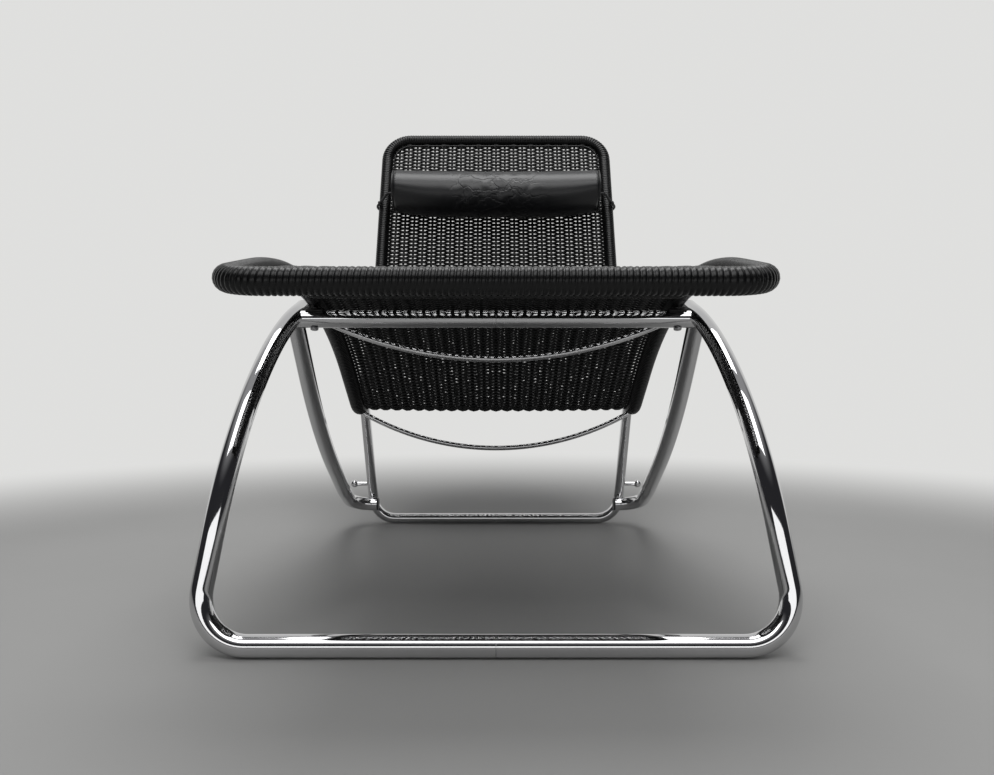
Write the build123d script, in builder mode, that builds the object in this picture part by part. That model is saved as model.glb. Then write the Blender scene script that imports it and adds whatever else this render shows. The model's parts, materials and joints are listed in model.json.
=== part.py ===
from build123d import *
import math
import os

# A lounge chair: a cane sling on a wrapped tube loop, carried by a chrome tube base and a rear hoop,
# with a leather bolster tied to the back. Millimetres, +Z up, the sitter faces -Y.
# Left and right are as seen from the front, so left is -X.

os.makedirs("parts", exist_ok=True)

# Tubes, rods and wraps
base_tube_diameter = 27.0
base_tube_wall = 2.0
hoop_tube_diameter = 21.0
hoop_tube_wall = 2.0
sling_tube_diameter = 20.0
sling_tube_wall = 1.5
wrap_thickness = 4.5
spreader_diameter = 10.0

# Clearances
wrap_clearance = 0.2
sleeve_clearance = 0.15
seat_clearance = 0.3

# Sling loop, as a side profile of corner points (y, z) that the bends round off
sling_spacing = 554.0
sling_depth = 1235.0
front_roll_height = 424.5
knee_corner = (-189.3, 512.3)
hip_corner = (210.0, 238.0)
top_bar_height = 925.0
upper_back_length = 440.0
upper_back_recline = 21.4
sling_corner_radius = 58.0
knee_radius = 740.0
hip_radius = 62.0
lumbar_radius = 500.0

# Weave panels between the rails: a web of crossing strands, thicker where they pass over a stake
weave_thickness = 4.0
weave_seam_rise = 10.0
stake_count = 23
stake_edge_gap = 15.5
rib_width = 20.0
rib_thickness = 8.6

# Base frame: the front tube of each half (floor bar and leg) and the strut welded under its upper end.
# Outsets are measured sideways from the axis of the rail.
front_bar_y = -459.5
front_bar_outset = 82.0
front_corner_radius = 58.0
leg_bend = (-383.0, 358.0)
leg_bend_outset = 37.5
leg_bend_radius = 380.0
leg_end = (-147.7, 433.7)
leg_end_outset = 29.0
crossbar_angle = 13.0
strut_outset = 31.0
strut_top = (-192.0, 418.0)
strut_bend = (-27.5, 225.0)
strut_bend_radius = 900.0
tail_bend = (187.5, 90.0)
tail_bend_radius = 300.0
hook_height = 47.0
hook_radius = 42.0
hook_length = 54.0
plug_depth = 10.0
plug_dome = 3.0

# Rear hoop
hoop_top_outset = 4.0
hoop_foot_outset = -14.0
hoop_foot_y = 307.0
hoop_corner_radius = 46.0
hoop_top_rise = 14.5
peg_height = 88.0
peg_diameter = 9.0
peg_length = 27.0
peg_ball_diameter = 16.0

# Joint sleeves, saddle pads and screws
sleeve_length = 90.0
saddle_thickness = 3.0
saddle_width = 26.0
saddle_half_angle = 50.0
screw_diameter = 6.0
screw_head_diameter = 12.0
screw_head_height = 4.0
screw_past_wall = 4.0

# Bowed spreader rods
front_spreader_y = -102.0
front_spreader_sag = 60.0
spreader_drop = 8.0
rear_spreader_angle = 0.0
rear_spreader_sag = 75.0

# Headrest
headrest_diameter = 112.0
headrest_length = 498.0
headrest_from_top = 200.0
cover_thickness = 4.0
end_disc_thickness = 5.0
cord_diameter = 6.0
knot_diameter = 13.0
knot_from_rail = 13.0
cord_exit = 14.0
cord_exit_radius = 15.0

base_radius = base_tube_diameter / 2
hoop_radius = hoop_tube_diameter / 2
sling_radius = sling_tube_diameter / 2
wrap_inner_radius = sling_radius + wrap_clearance
wrap_radius = sling_radius + wrap_thickness
rail_x = sling_spacing / 2
strut_x = rail_x + strut_outset


def unit(start, end):
    """Direction from one side-profile point to another."""
    length = math.dist(start, end)
    return ((end[0] - start[0]) / length, (end[1] - start[1]) / length)


def along(point, direction, distance):
    """Side-profile point moved along a direction."""
    return (point[0] + direction[0] * distance, point[1] + direction[1] * distance)


def bend_centre(before, corner, after, radius):
    """Centre of the arc that rounds a side-profile corner, and the tangent length of that arc."""
    way_in = unit(before, corner)
    way_out = unit(corner, after)
    cross = way_in[0] * way_out[1] - way_in[1] * way_out[0]
    turn = math.atan2(abs(cross), way_in[0] * way_out[0] + way_in[1] * way_out[1])
    tangent = radius * math.tan(turn / 2)
    normal = (-way_in[1] * math.copysign(1, cross), way_in[0] * math.copysign(1, cross))
    return along(along(corner, way_in, -tangent), normal, radius), tangent


def swept_tube(points, radii, outer, inner=0.0):
    """Round bar or tube along straight runs joined by tangent arcs."""
    with BuildPart() as tube:
        with BuildLine() as path:
            FilletPolyline(*points, radius=radii)
        with BuildSketch(Plane(origin=path.line @ 0, z_dir=path.line % 0)):
            Circle(outer)
            if inner > 0:
                Circle(inner, mode=Mode.SUBTRACT)
        sweep()
    return tube.part


def finish(piece, name):
    """Label a piece and write its file."""
    piece.part.label = name
    export_step(piece.part, f"parts/{name}.step")


# Side profile of the sling loop, from the front roll to the top bar
roll = (-sling_depth / 2, front_roll_height)
top_bar = (sling_depth / 2, top_bar_height)
recline = math.radians(upper_back_recline)
back_up = (math.sin(recline), math.cos(recline))
back_front = (-math.cos(recline), math.sin(recline))
lumbar_corner = along(top_bar, back_up, -upper_back_length)
knee_centre, _ = bend_centre(roll, knee_corner, hip_corner, knee_radius)
hip_centre, hip_tangent = bend_centre(knee_corner, hip_corner, lumbar_corner, hip_radius)
sling_radii = [sling_corner_radius, knee_radius, hip_radius, lumbar_radius, sling_corner_radius]


def sling_points(side):
    """Corner points of one half of the sling loop, from the middle of the front bar to the top bar's middle."""
    profile = (roll, knee_corner, hip_corner, lumbar_corner, top_bar)
    return [(0, *roll)] + [(side * rail_x, *point) for point in profile] + [(0, *top_bar)]


def knee_point(angle, inset=0.0):
    """Point under the knee bend of the rails, measured in degrees back from its highest point."""
    reach = knee_radius - inset
    turn = math.radians(angle)
    return (knee_centre[0] + reach * math.sin(turn), knee_centre[1] + reach * math.cos(turn))


# The crossbar lies under the rails, with the saddle pads between
saddle_inset = wrap_radius + saddle_thickness + base_radius + 2 * seat_clearance
crossbar = knee_point(crossbar_angle, saddle_inset)
saddle_up = unit(crossbar, knee_point(crossbar_angle))

# The rear legs run straight from the rails, just behind the hip bend, to the floor bar
hoop_top_x = rail_x + hoop_top_outset
hoop_foot_x = rail_x + hoop_foot_outset
hoop_top = along(hip_corner, unit(hip_corner, lumbar_corner), hip_tangent + hoop_top_rise)
hoop_foot = (hoop_foot_y, hoop_radius)
leg_down = unit(hoop_top, hoop_foot)


def leg_y(height):
    """Depth of a rear leg's axis at a height."""
    return hoop_top[0] + (hoop_top[1] - height) * leg_down[0] / -leg_down[1]


def leg_x(height):
    """Distance of a rear leg's axis from the middle of the chair at a height."""
    rise = (height - hoop_foot[1]) / (hoop_top[1] - hoop_foot[1])
    return hoop_foot_x + rise * (hoop_top_x - hoop_foot_x)


hook_y = leg_y(hook_height) - (base_radius + hoop_radius + seat_clearance) / -leg_down[1]


def front_points(side):
    """Corner points of one front tube, from the middle of the floor bar to the upper end of the leg."""
    return [
        (0, front_bar_y, base_radius),
        (side * (rail_x + front_bar_outset), front_bar_y, base_radius),
        (side * (rail_x + leg_bend_outset), *leg_bend),
        (side * (rail_x + leg_end_outset), *leg_end),
    ]


def strut_points(side):
    """Corner points of one strut, from its weld under the leg to the hooked end."""
    places = (strut_top, strut_bend, tail_bend, (hook_y, hook_height))
    end = (side * (strut_x - hook_length), hook_y, hook_height)
    return [(side * strut_x, *place) for place in places] + [end]


front_radii = [front_corner_radius, leg_bend_radius]
strut_radii = [strut_bend_radius, tail_bend_radius, hook_radius]


def end_plug(end, direction):
    """Domed plug in an open tube end."""
    with BuildPart() as plug:
        with BuildSketch(Plane(origin=end, z_dir=direction)):
            Circle(base_radius)
        extrude(amount=plug_dome)
        outer_rim = plug.edges().filter_by(GeomType.CIRCLE).sort_by(Axis(end, direction))[-1]
        fillet(outer_rim, plug_dome * 0.8)
        with BuildSketch(Plane(origin=end, z_dir=direction)):
            Circle(base_radius - base_tube_wall - sleeve_clearance)
        extrude(amount=-plug_depth)
    return plug.part


def screw_bar(side, radius):
    """Bar along a rail screw, from under the crossbar to past the near wall of the sling tube."""
    start = along(crossbar, saddle_up, -base_radius - seat_clearance)
    reach = saddle_inset - sling_radius + sling_tube_wall + screw_past_wall
    with BuildPart() as bar:
        with BuildSketch(Plane(origin=(side * rail_x, *start), z_dir=(0, *saddle_up))):
            Circle(radius)
        extrude(amount=base_radius + seat_clearance + reach)
    return bar.part


# Pieces that are made once for each side
screws = []
saddles = []
plugs = []
half_wraps = []
rail_clearances = []
for side, word in ((-1, "left"), (1, "right")):
    front_solid = swept_tube(front_points(side), front_radii, base_radius)
    strut_solid = swept_tube(strut_points(side), strut_radii, base_radius)
    rail_solid = swept_tube(sling_points(side), sling_radii, wrap_radius + seat_clearance)
    rail_clearances.append(rail_solid)
    screw_hole = screw_bar(side, screw_diameter / 2 + seat_clearance)

    # Front tube and strut, welded into one half of the base
    with BuildPart() as base_frame:
        add(front_solid)
        add(strut_solid)
        add(swept_tube(front_points(side), front_radii, base_radius - base_tube_wall), mode=Mode.SUBTRACT)
        add(swept_tube(strut_points(side), strut_radii, base_radius - base_tube_wall), mode=Mode.SUBTRACT)
    finish(base_frame, f"base_frame_{word}")

    # Half of the crossbar, coped where it is welded to the leg and the strut
    with BuildPart() as crossbar_half:
        with BuildSketch(Plane(origin=(0, *crossbar), z_dir=(side, 0, 0))):
            Circle(base_radius)
            Circle(base_radius - base_tube_wall, mode=Mode.SUBTRACT)
        extrude(amount=strut_x - base_radius / 2)
        add([front_solid, strut_solid], mode=Mode.SUBTRACT)
        add(screw_hole, mode=Mode.SUBTRACT)
    finish(crossbar_half, f"crossbar_{word}")

    # Rear leg with half of the rear floor bar, coped under the rail
    with BuildPart() as rear_hoop:
        add(
            swept_tube(
                [(0, *hoop_foot), (side * hoop_foot_x, *hoop_foot), (side * hoop_top_x, *hoop_top)],
                [hoop_corner_radius],
                hoop_radius,
                hoop_radius - hoop_tube_wall,
            )
        )
        add(rail_solid, mode=Mode.SUBTRACT)
    finish(rear_hoop, f"rear_hoop_{word}")

    # Ball peg on the outer side of the rear leg, turned about its own axis
    with BuildPart() as ball_peg:
        peg_x = leg_x(peg_height) + hoop_radius + seat_clearance
        peg_foot = (side * peg_x, leg_y(peg_height), peg_height)
        with BuildSketch(Plane(origin=peg_foot, x_dir=(side, 0, 0), z_dir=(0, 0, side))):
            Rectangle(peg_length, peg_diameter, align=(Align.MIN, Align.CENTER))
            with Locations((peg_length, 0)):
                Circle(peg_ball_diameter / 2)
            with Locations((peg_length, 0)):
                Rectangle(
                    2 * peg_length,
                    peg_ball_diameter,
                    align=(Align.CENTER, Align.MAX),
                    mode=Mode.SUBTRACT,
                )
        revolve(axis=Axis(peg_foot, (1, 0, 0)))
    finish(ball_peg, f"ball_peg_{word}")

    # Inner tube of the sling loop, drilled for the rail screw
    with BuildPart() as sling_tube:
        add(swept_tube(sling_points(side), sling_radii, sling_radius, sling_radius - sling_tube_wall))
        add(screw_hole, mode=Mode.SUBTRACT)
    finish(sling_tube, f"sling_tube_{word}")

    # Cane wrap of half the loop, drilled for the rail screw and cut into its pieces further on
    with BuildPart() as half_wrap:
        add(swept_tube(sling_points(side), sling_radii, wrap_radius, wrap_inner_radius))
        add(screw_hole, mode=Mode.SUBTRACT)
    half_wraps.append(half_wrap.part)

    # Domed-head screw from under the crossbar into the rail
    with BuildPart() as rail_screw:
        add(screw_bar(side, screw_diameter / 2))
        seat = along(crossbar, saddle_up, -base_radius - seat_clearance)
        with BuildSketch(Plane(origin=(side * rail_x, *seat), z_dir=(0, -saddle_up[0], -saddle_up[1]))):
            Circle(screw_head_diameter / 2)
        extrude(amount=screw_head_height)
        head_rim = rail_screw.edges().filter_by(GeomType.CIRCLE).sort_by(Axis.Z)[0]
        fillet(head_rim, screw_head_height / 2)
    screws.append(rail_screw.part)

    # Saddle pad on the crossbar under the rail
    with BuildPart() as saddle:
        pad_plane = Plane(
            origin=(side * rail_x - saddle_width / 2, *crossbar), x_dir=(0, *saddle_up), z_dir=(1, 0, 0)
        )
        pad_inner = base_radius + seat_clearance
        pad_outer = pad_inner + saddle_thickness
        pad_half_height = pad_outer * math.tan(math.radians(saddle_half_angle))
        with BuildSketch(pad_plane):
            Circle(pad_outer)
            Circle(pad_inner, mode=Mode.SUBTRACT)
            Polygon(
                (0, 0),
                (pad_outer, pad_half_height),
                (pad_outer, -pad_half_height),
                align=None,
                mode=Mode.INTERSECT,
            )
        extrude(amount=saddle_width)
        add(screw_hole, mode=Mode.SUBTRACT)
    saddles.append(saddle.part)

    # Plugs in the upper end of the leg and in the hooked end of the strut
    leg_corner, leg_tip = [Vector(point) for point in front_points(side)[-2:]]
    plugs.append(end_plug(leg_tip, (leg_tip - leg_corner).normalized()))
    plugs.append(end_plug(Vector(strut_points(side)[-1]), Vector(-side, 0, 0)))

for name, pieces in (("rail_screws", screws), ("saddle_pads", saddles), ("tube_end_plugs", plugs)):
    with BuildPart() as pair:
        add(pieces)
    finish(pair, name)

# Joint sleeves inside the tubes, across the middle seams
sleeves = (
    ("front_bar_sleeve", (front_bar_y, base_radius), base_radius - base_tube_wall),
    ("crossbar_sleeve", crossbar, base_radius - base_tube_wall),
    ("rear_bar_sleeve", hoop_foot, hoop_radius - hoop_tube_wall),
    ("sling_front_sleeve", roll, sling_radius - sling_tube_wall),
    ("sling_top_sleeve", top_bar, sling_radius - sling_tube_wall),
)
for name, place, bore in sleeves:
    with BuildPart() as sleeve:
        with BuildSketch(Plane(origin=(-sleeve_length / 2, *place), z_dir=(1, 0, 0))):
            Circle(bore - sleeve_clearance)
        extrude(amount=sleeve_length)
    finish(sleeve, name)

# Cane wraps: the front roll with its corners, the two rails, and the top bar with its corners
front_cut = Plane(origin=(0, roll[0] + sling_corner_radius + wrap_radius, 0), z_dir=(0, 1, 0))
top_cut_point = along(top_bar, back_up, -sling_corner_radius)
top_cut = Plane(origin=(0, *top_cut_point), z_dir=(0, *back_up))
with BuildPart() as front_roll_wrap:
    add(half_wraps)
    split(bisect_by=front_cut, keep=Keep.BOTTOM)
finish(front_roll_wrap, "front_roll_wrap")
with BuildPart() as top_bar_wrap:
    add(half_wraps)
    split(bisect_by=top_cut, keep=Keep.TOP)
finish(top_bar_wrap, "top_bar_wrap")
for half_wrap, word in zip(half_wraps, ("left", "right")):
    with BuildPart() as rail_wrap:
        add(half_wrap)
        split(bisect_by=front_cut, keep=Keep.TOP)
        split(bisect_by=top_cut, keep=Keep.BOTTOM)
    finish(rail_wrap, f"rail_wrap_{word}")

# Weave panels in the plane of the rails, with a rib along every stake, trimmed to the wraps
panel_width = sling_spacing - 2 * wrap_radius
stake_pitch = (panel_width - 2 * stake_edge_gap) / (stake_count - 1)
with BuildSketch() as stake_rib:
    with BuildLine():
        ThreePointArc((-rib_width / 2, 0), (0, rib_thickness / 2), (rib_width / 2, 0))
        ThreePointArc((rib_width / 2, 0), (0, -rib_thickness / 2), (-rib_width / 2, 0))
    make_face()
seat_start = along(roll, unit(roll, knee_corner), wrap_radius)
seat_end = along(hip_corner, unit(hip_corner, lumbar_corner), hip_tangent + weave_seam_rise)
back_end = along(top_bar, back_up, -wrap_radius)
panels = (
    ("seat_weave", (seat_start, knee_corner, hip_corner, seat_end), [knee_radius, hip_radius]),
    ("back_weave", (seat_end, lumbar_corner, back_end), [lumbar_radius]),
)
for name, profile, radii in panels:
    with BuildPart() as panel:
        with BuildLine() as panel_line:
            FilletPolyline(*[(0, *point) for point in profile], radius=radii)
        with BuildSketch(Plane(panel_line.line @ 0, x_dir=(1, 0, 0), z_dir=panel_line.line % 0)):
            Rectangle(panel_width, weave_thickness)
            with GridLocations(stake_pitch, stake_pitch, stake_count, 1):
                add(stake_rib.sketch)
        sweep()
        add(rail_clearances, mode=Mode.SUBTRACT)
    finish(panel, name)

# Bowed spreader rods between the rails, under the weave
front_spreader_rise = math.sqrt(knee_radius**2 - (front_spreader_y - knee_centre[0]) ** 2)
front_spreader_end = (front_spreader_y, knee_centre[1] + front_spreader_rise - spreader_drop)
rear_turn = math.radians(rear_spreader_angle)
rear_spreader_end = (
    hip_centre[0] - hip_radius * math.sin(rear_turn),
    hip_centre[1] - hip_radius * math.cos(rear_turn) - spreader_drop,
)
spreaders = (
    ("front_spreader", front_spreader_end, front_spreader_sag),
    ("rear_spreader", rear_spreader_end, rear_spreader_sag),
)
for name, end, sag in spreaders:
    with BuildPart() as spreader:
        with BuildLine() as bow:
            ThreePointArc((-rail_x, *end), (0, end[0], end[1] - sag), (rail_x, *end))
        with BuildSketch(Plane(origin=bow.line @ 0, z_dir=bow.line % 0)):
            Circle(spreader_diameter / 2)
        sweep()
        add(rail_clearances, mode=Mode.SUBTRACT)
    finish(spreader, name)

# Headrest bolster, lying on the weave between the rails
headrest_radius = headrest_diameter / 2
headrest_seat = along(top_bar, back_up, -headrest_from_top)
headrest_out = rib_thickness / 2 + headrest_radius + seat_clearance
headrest_centre = along(headrest_seat, back_front, headrest_out)
cover_length = headrest_length - 2 * end_disc_thickness
core_radius = headrest_radius - cover_thickness - seat_clearance


def bolster_plane(x, direction=1):
    """Plane across the bolster's axis."""
    return Plane(origin=(x, *headrest_centre), x_dir=(0, *back_up), z_dir=(direction, 0, 0))


with BuildPart() as headrest_core:
    with BuildSketch(bolster_plane(-cover_length / 2)):
        Circle(core_radius)
    extrude(amount=cover_length)
finish(headrest_core, "headrest_core")

with BuildPart() as headrest_cover:
    with BuildSketch(bolster_plane(-cover_length / 2)):
        Circle(headrest_radius)
        Circle(headrest_radius - cover_thickness, mode=Mode.SUBTRACT)
    extrude(amount=cover_length)
finish(headrest_cover, "headrest_cover")

for side, word in ((-1, "left"), (1, "right")):
    with BuildPart() as end_disc:
        with BuildSketch(bolster_plane(side * cover_length / 2, side)):
            Circle(headrest_radius)
        extrude(amount=end_disc_thickness)
    finish(end_disc, f"headrest_end_{word}")

# Tie cord, in the plane across the back through the bolster's axis, as (x, distance in front of the rails).
# It leaves each end disc straight, runs tangent to the rail and round it, and crosses behind the back.
cord_radius = cord_diameter / 2
cord_turn_radius = wrap_radius + cord_radius + 2 * seat_clearance
cord_leave = (headrest_length / 2, headrest_out)
cord_aim = (headrest_length / 2 + cord_exit, headrest_out)
aim_from_rail = (cord_aim[0] - rail_x, cord_aim[1])
aim_angle = math.atan2(aim_from_rail[1], aim_from_rail[0])
touch_angle = aim_angle - math.acos(cord_turn_radius / math.hypot(*aim_from_rail))
cord_touch = (
    rail_x + cord_turn_radius * math.cos(touch_angle),
    cord_turn_radius * math.sin(touch_angle),
)
cord_run = unit(cord_aim, cord_touch)
cord_corner = along(cord_aim, cord_run, (cord_aim[1] + cord_turn_radius) / -cord_run[1])


def tie_point(side, point):
    """Place of a point of the tie cord."""
    depth = along(headrest_seat, back_front, point[1])
    return (side * point[0], *depth)


tie_route = [tie_point(-1, cord_leave), tie_point(-1, cord_aim), tie_point(-1, cord_corner)]
tie_route += [tie_point(1, cord_corner), tie_point(1, cord_aim), tie_point(1, cord_leave)]
tie_radii = [cord_exit_radius, cord_turn_radius, cord_turn_radius, cord_exit_radius]
with BuildPart() as tie_cord:
    add(swept_tube(tie_route, tie_radii, cord_radius))
finish(tie_cord, "tie_cord")

knot_place = along(cord_touch, cord_run, -knot_from_rail)
with BuildPart() as cord_knots:
    for side in (-1, 1):
        with Locations(tie_point(side, knot_place)):
            Sphere(knot_diameter / 2)
    add(swept_tube(tie_route, tie_radii, cord_radius + sleeve_clearance), mode=Mode.SUBTRACT)
finish(cord_knots, "cord_knots")
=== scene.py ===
# %% [markdown]
# # A cane lounge chair
# The chair is a loop of steel tube, wound with black cane strip and filled with a cane weave. A base and
# a hoop of chrome tube carry it, and a leather bolster for the head is tied to its back. The CAD part is
# loaded as a fixed frame and gives every place and size. The chrome tubes, the cane, the bolster and the
# knots are made again here in finer detail, and each hides the CAD piece that it stands for. The other
# CAD pieces only get a finish.

# %% Load the frame
import json
import math

import bmesh
import bpy
import numpy as np
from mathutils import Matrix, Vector, noise as perlin

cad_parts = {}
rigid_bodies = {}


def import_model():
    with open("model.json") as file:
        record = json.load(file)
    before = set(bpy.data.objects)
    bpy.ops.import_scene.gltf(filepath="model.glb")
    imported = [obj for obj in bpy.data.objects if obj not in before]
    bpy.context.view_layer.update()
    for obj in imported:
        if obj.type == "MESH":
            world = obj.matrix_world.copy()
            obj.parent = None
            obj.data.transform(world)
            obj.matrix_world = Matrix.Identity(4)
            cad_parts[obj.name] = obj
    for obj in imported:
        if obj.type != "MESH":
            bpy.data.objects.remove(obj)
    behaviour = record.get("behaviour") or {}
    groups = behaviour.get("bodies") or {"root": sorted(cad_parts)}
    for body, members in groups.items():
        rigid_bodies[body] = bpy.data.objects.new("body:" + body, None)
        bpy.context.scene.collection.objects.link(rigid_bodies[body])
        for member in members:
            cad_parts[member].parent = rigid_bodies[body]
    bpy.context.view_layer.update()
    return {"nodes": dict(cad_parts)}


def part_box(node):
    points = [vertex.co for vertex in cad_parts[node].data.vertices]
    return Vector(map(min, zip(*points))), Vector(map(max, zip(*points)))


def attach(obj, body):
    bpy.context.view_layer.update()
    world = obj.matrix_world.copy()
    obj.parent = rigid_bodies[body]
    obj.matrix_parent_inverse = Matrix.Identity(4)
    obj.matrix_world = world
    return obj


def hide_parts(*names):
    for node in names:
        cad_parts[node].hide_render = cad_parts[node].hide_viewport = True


for thing in list(bpy.data.objects):
    bpy.data.objects.remove(thing)
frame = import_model()

# %% [markdown]
# ## The line of the sling
# On the real chair one long tube is bent to the outline of the sling, and the cane follows it. It could
# be drawn point by point. A tube bender works with corners and bend radii instead, and five corners are
# easy to compare with the CAD part. Sizes are in metres: X runs across the chair, Y to the back and Z up.

# %% Corners of the sling, seen from the side
rail_x = 0.277
roll = Vector((0, -0.6175, 0.4245))
knee = Vector((0, -0.1893, 0.5123))
hip = Vector((0, 0.210, 0.238))
lumbar = Vector((0, 0.45695, 0.51533))
top_bar = Vector((0, 0.6175, 0.925))
knee_bend, hip_bend, lumbar_bend = 0.74, 0.062, 0.5
seat_up = (knee - roll).normalized()
back_up = (top_bar - lumbar).normalized()
back_front = Vector((0, -back_up.z, back_up.y))
print("back leans", round(math.degrees(math.atan2(back_up.y, back_up.z)), 1), "degrees")

# %% Where the wraps and the two halves of the weave meet
wrap_radius = 0.0145
corner_bend = 0.058
wrap_cut = corner_bend + wrap_radius
front_cut = roll + seat_up * wrap_cut / seat_up.y
top_cut = top_bar - back_up * corner_bend
hip_up = (lumbar - hip).normalized()
hip_turn = (hip - knee).angle(lumbar - hip)
hip_bend_end = hip_bend * math.tan(hip_turn / 2)
past_hip = 0.010
seam = hip + hip_up * (hip_bend_end + past_hip)
print("seat and back meet", round(seam.z * 1000), "mm above the floor")

# %% [markdown]
# ## Writing node trees
# Finishes and geometry trees are sums that Blender draws as boxes and wires. Wiring each box by hand
# works, but a long chain is hard to read. `Number` lets a sum be written as one: adding two of them puts
# in a Math node and gives back its result. `Nodes.add` makes any other node, sets it up and joins its
# inputs.


# %% Numbers in a node tree
class Number:
    """A number in a node tree."""

    def __init__(self, nodes, socket):
        self.nodes = nodes
        self.socket = socket

    def math(self, operation, *values):
        node = self.nodes.add("ShaderNodeMath", operation=operation)
        for socket, value in zip(node.inputs, values):
            self.nodes.join(value, socket)
        return Number(self.nodes, node.outputs[0])

    def __add__(self, other):
        return self.math("ADD", self, other)

    def __radd__(self, other):
        return self.math("ADD", other, self)

    def __sub__(self, other):
        return self.math("SUBTRACT", self, other)

    def __rsub__(self, other):
        return self.math("SUBTRACT", other, self)

    def __mul__(self, other):
        return self.math("MULTIPLY", self, other)

    def __rmul__(self, other):
        return self.math("MULTIPLY", other, self)

    def __truediv__(self, other):
        return self.math("DIVIDE", self, other)

    def __rtruediv__(self, other):
        return self.math("DIVIDE", other, self)


print("numbers can be added, taken away, multiplied and divided")


# %% A node tree that is being written
class Nodes:
    """A node tree and the ways to add to it."""

    def __init__(self, tree):
        self.tree = tree

    def join(self, value, socket):
        if isinstance(value, Number):
            self.tree.links.new(value.socket, socket)
        elif isinstance(value, bpy.types.NodeSocket):
            self.tree.links.new(value, socket)
        else:
            socket.default_value = value

    def add(self, kind, inputs=None, **settings):
        node = self.tree.nodes.new(kind)
        for name, value in settings.items():
            setattr(node, name, value)
        for name, value in (inputs or {}).items():
            self.join(value, node.inputs[name])
        return node

    def number(self, node, output=0):
        return Number(self, node.outputs[output])

    def vector(self, operation, *values):
        node = self.add("ShaderNodeVectorMath", operation=operation)
        for socket, value in zip(node.inputs, values):
            self.join(value, socket)
        return node.outputs[0]

    def scaled(self, vector, number):
        return self.add("ShaderNodeVectorMath", {0: vector, "Scale": number}, operation="SCALE").outputs[0]

    def ramp(self, value, low, high, to_low=0.0, to_high=1.0):
        inputs = {"Value": value, "From Min": low, "From Max": high, "To Min": to_low, "To Max": to_high}
        return self.number(self.add("ShaderNodeMapRange", inputs, interpolation_type="SMOOTHSTEP"))

    def blend(self, factor, first, second):
        # A Mix node has sockets for every kind of value. Inputs 6 and 7 and output 2 are its colours.
        return self.add("ShaderNodeMix", {0: factor, 6: first, 7: second}, data_type="RGBA").outputs[2]


print("ready to write node trees")

# %% [markdown]
# ## What the finishes share
# Every finish starts from Blender's Principled shader and adds unevenness to its colour, roughness and
# bump. Pictures of real surfaces could do that, but they need a file and a flat map of each piece. Noise
# needs neither. It is read at the piece's own coordinates, so the pattern stays in place when the piece
# moves.


# %% A finish to start from
def new_finish(name, **constants):
    material = bpy.data.materials.new(name)
    material.use_nodes = True
    nodes = Nodes(material.node_tree)
    surface = material.node_tree.nodes["Principled BSDF"]
    for socket, value in constants.items():
        surface.inputs[socket.replace("_", " ")].default_value = value
    place = nodes.add("ShaderNodeTexCoord").outputs["Object"]
    return material, nodes, surface, place


def noise(nodes, place, scale, detail=3.0):
    return nodes.number(nodes.add("ShaderNodeTexNoise", {"Vector": place, "Scale": scale, "Detail": detail}))


def bump(nodes, height, strength, distance):
    inputs = {"Height": height, "Strength": strength, "Distance": distance}
    return nodes.add("ShaderNodeBump", inputs).outputs[0]


def grey(level):
    return (level, level, level, 1)


print("ready to make finishes")

# %% [markdown]
# ## Chrome
# The base is plated and polished, so its look is what it mirrors. A metal with no roughness would do, but
# real chrome that has been handled has faint smudges. Large noise blurs the mirror a little in places,
# and fine noise keeps the highlights from being perfect.

# %% Chrome finish
chrome, nodes, surface, place = new_finish("chrome_finish", Metallic=1.0)
smudge = noise(nodes, place, 9.0)
fine_wear = noise(nodes, place, 260.0, 2.0)
nodes.join(nodes.blend(smudge, grey(0.68), (0.60, 0.60, 0.61, 1)), surface.inputs["Base Color"])
nodes.join(nodes.ramp(smudge, 0.4, 0.75, 0.03, 0.09) + fine_wear * 0.02, surface.inputs["Roughness"])
print("made", chrome.name)

# %% [markdown]
# ## Cane
# The cane is stained black and has a satin shine. Its fibres make thin streaks along each strand. The
# strands run several ways, so no single grain direction is right, and noise that is squeezed on two axes
# is near enough. The streaks vary colour, roughness and bump together, and broad patches show where the
# stain is thinner.

# %% Cane finish
cane, nodes, surface, place = new_finish("cane_finish", Specular_IOR_Level=0.32)
black_stain, thin_stain = (0.0012, 0.0013, 0.0015, 1), (0.005, 0.0053, 0.0057, 1)
worn_stain = (0.006, 0.0057, 0.0054, 1)
streak = noise(nodes, nodes.vector("MULTIPLY", place, (60.0, 400.0, 400.0)), 1.0, 4.0)
patch = noise(nodes, place, 14.0)
tone = nodes.blend(streak, black_stain, thin_stain)
nodes.join(nodes.blend(patch * 0.4, tone, worn_stain), surface.inputs["Base Color"])
nodes.join(0.20 + streak * 0.12 + patch * 0.06, surface.inputs["Roughness"])
nodes.join(bump(nodes, streak, 0.12, 0.0004), surface.inputs["Normal"])
print("made", cane.name)

# %% [markdown]
# ## Leather
# The bolster's leather has a fine grain all over and thin creases in the middle, where a head has rested.
# The deep folds are modelled later, but hair-thin creases would need far too many faces. A Voronoi
# pattern has cells with thin borders, like cracked or creased skin, so its borders are the creases and
# smaller cells are the grain.

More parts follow.
